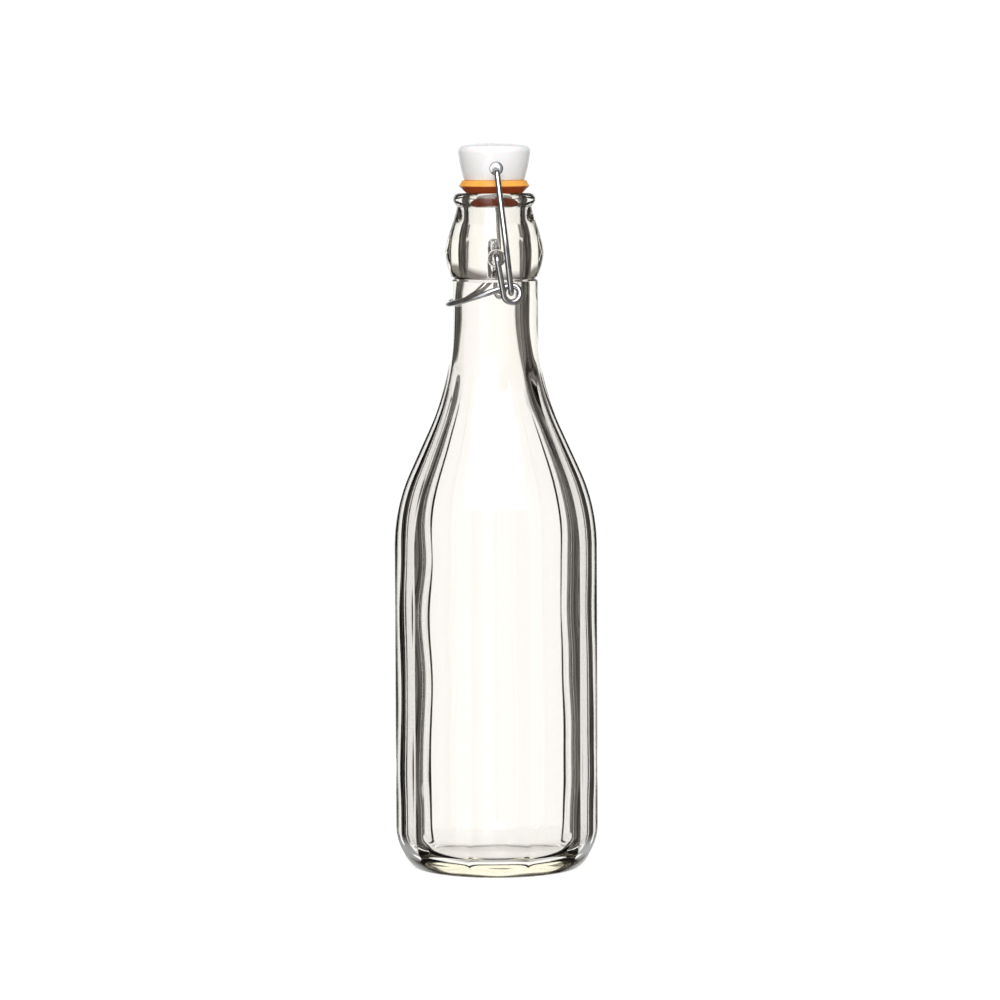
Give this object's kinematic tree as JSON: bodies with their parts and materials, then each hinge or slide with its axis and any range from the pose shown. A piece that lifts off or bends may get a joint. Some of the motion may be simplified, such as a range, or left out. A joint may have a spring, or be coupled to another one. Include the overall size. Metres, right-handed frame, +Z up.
{
  "type": "swing-top bottle",
  "caption": "Ten-sided clear glass bottle with a swing-top closure: white stopper, rubber gasket, and bent bail and lever wires that clamp it on the mouth.",
  "frame": {"origin": "centre of the base, on the surface that the bottle stands on", "axes": "+Z up along the bottle; the closure's hinge axes run along Y; the lever's handle lies on the -X side"},
  "size_m": [0.0744, 0.0712, 0.2654],
  "materials": {
    "clear_glass": "fire-polished, clear flint",
    "white_plastic": "moulded gloss",
    "orange_rubber": "satin",
    "bright_wire": "bright drawn"
  },
  "bodies": {
    "bottle": {"glass_bottle": "clear_glass"},
    "lever": {"lever_wire": "bright_wire"},
    "bail": {"bail_wire": "bright_wire"},
    "closure": {"stopper": "white_plastic", "gasket": "orange_rubber"}
  },
  "joints": [
    {"name": "lever_swing", "type": "hinge", "parent": "bottle", "child": "lever", "pos_m": [0, 0, 0.2247], "axis": [0, 1, 0], "range_deg": [0, 92], "deforming": ["gasket"]},
    {"name": "bail_hinge", "type": "hinge", "parent": "lever", "child": "bail", "pos_m": [0.0051, 0, 0.2115], "axis": [0, 1, 0], "range_deg": [-65, 0]},
    {"name": "stopper_hinge", "type": "hinge", "parent": "bail", "child": "closure", "pos_m": [0.0003, 0, 0.2555], "axis": [0, 1, 0], "range_deg": [-28, 0]}
  ],
  "couplings": [
    {"joint": "bail_hinge", "follows": "lever_swing", "ratio": -0.7},
    {"joint": "stopper_hinge", "follows": "lever_swing", "ratio": -0.3}
  ]
}
